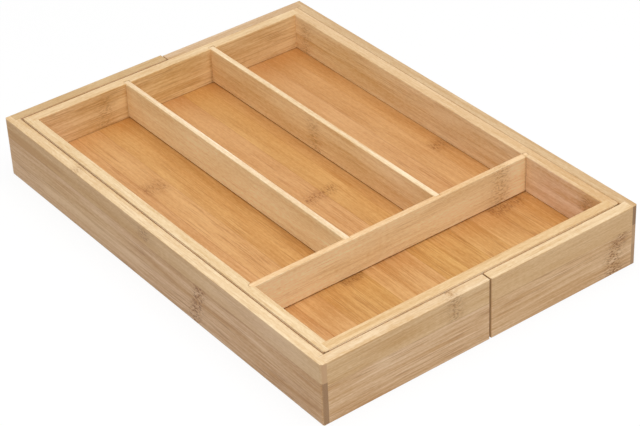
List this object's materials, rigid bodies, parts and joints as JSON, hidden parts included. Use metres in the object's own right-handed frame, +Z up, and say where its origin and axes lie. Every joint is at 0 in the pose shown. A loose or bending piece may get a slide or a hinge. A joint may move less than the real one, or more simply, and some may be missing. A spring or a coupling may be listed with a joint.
{
  "type": "expandable cutlery organizer",
  "caption": "Bamboo cutlery tray with long compartments and a cross compartment, on two sliding wings that widen it to fill a drawer.",
  "frame": {"origin": "middle of the closed organizer's outer box, on the surface that it stands on", "axes": "+X to the user's right, +Y from the front, where the cross compartment is, to the back, +Z up"},
  "size_m": [0.303, 0.43, 0.0552],
  "materials": {
    "bamboo_wall": "sanded bamboo, satin lacquer",
    "bamboo_divider": "sanded bamboo, satin lacquer",
    "bamboo_floor": "sanded bamboo panel, satin lacquer",
    "bamboo_pin": "turned bamboo dowel"
  },
  "bodies": {
    "tray": {"tray_left_wall": "bamboo_wall", "tray_right_wall": "bamboo_wall", "tray_front_wall": "bamboo_wall", "tray_back_wall": "bamboo_wall", "tray_floor": "bamboo_floor", "cross_divider": "bamboo_divider", "left_long_divider": "bamboo_divider", "right_long_divider": "bamboo_divider"},
    "left_wing": {"left_wing_side": "bamboo_wall", "left_wing_front": "bamboo_wall", "left_wing_back": "bamboo_wall", "left_wing_floor": "bamboo_floor", "left_wing_front_pin": "bamboo_pin", "left_wing_back_pin": "bamboo_pin"},
    "right_wing": {"right_wing_side": "bamboo_wall", "right_wing_front": "bamboo_wall", "right_wing_back": "bamboo_wall", "right_wing_floor": "bamboo_floor", "right_wing_front_pin": "bamboo_pin", "right_wing_back_pin": "bamboo_pin"}
  },
  "joints": [
    {"name": "left_wing_slide", "type": "slide", "parent": "tray", "child": "left_wing", "axis": [-1, 0, 0], "range_m": [0, 0.098]},
    {"name": "right_wing_slide", "type": "slide", "parent": "tray", "child": "right_wing", "axis": [1, 0, 0], "range_m": [0, 0.098]}
  ]
}
